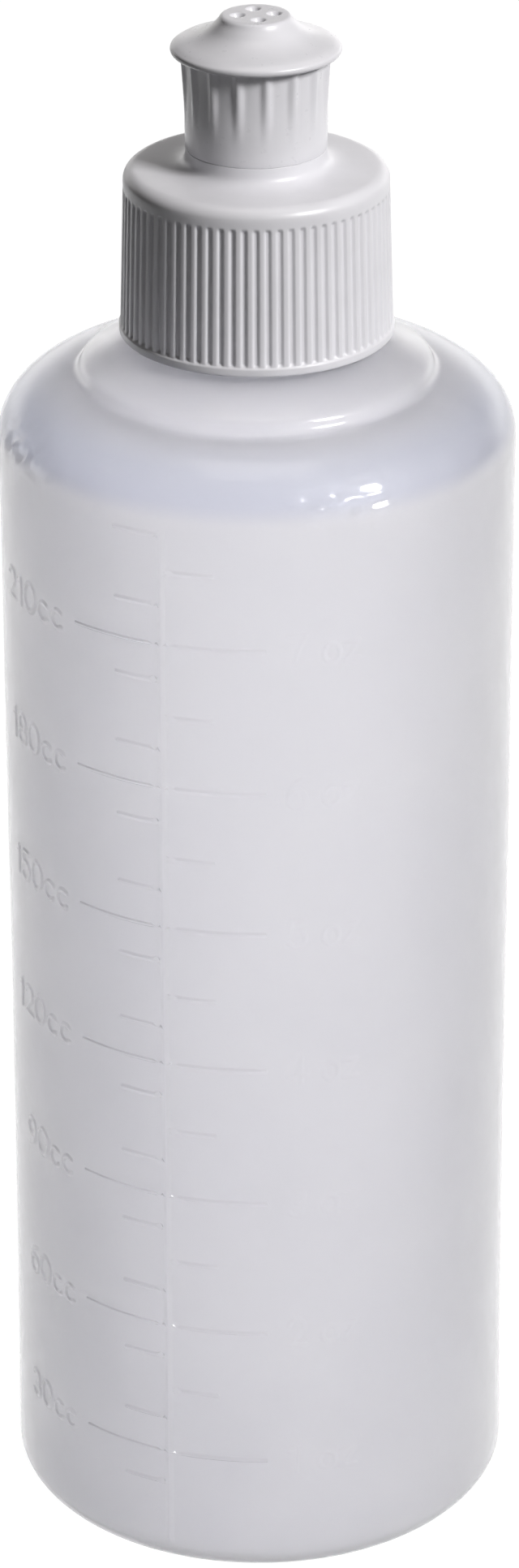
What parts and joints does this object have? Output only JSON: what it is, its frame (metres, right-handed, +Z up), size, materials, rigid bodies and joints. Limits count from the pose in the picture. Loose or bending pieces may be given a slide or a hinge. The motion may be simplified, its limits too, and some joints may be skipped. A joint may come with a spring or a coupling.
{
  "type": "perineal rinse squeeze bottle",
  "caption": "Upright translucent squeeze bottle with a moulded volume scale, a ribbed screw cap and a push-pull spray spout with a fluted grip.",
  "frame": {"origin": "centre of the plane the bottle stands on, on the bottle's axis", "axes": "+Z up along the bottle's axis towards the spout, -Y the front, which is the side the picture shows, +X to the right of it; the mould's parting plane is 21.2 degrees to the left of the front"},
  "size_m": [0.0516, 0.0517, 0.1597],
  "materials": {
    "natural_polyethylene": "natural, milky translucent, satin gloss, as blown",
    "white_polypropylene": "white, smooth moulded gloss"
  },
  "bodies": {
    "bottle": {"bottle": "natural_polyethylene"},
    "cap": {"cap": "white_polypropylene"},
    "spout": {"spout": "white_polypropylene"}
  },
  "joints": [
    {"name": "cap_lift", "type": "slide", "parent": "bottle", "child": "cap", "axis": [0, 0, 1], "range_m": [0, 0.03]},
    {"name": "spout_pull", "type": "slide", "parent": "cap", "child": "spout", "axis": [0, 0, 1], "range_m": [0, 0.0038]}
  ]
}
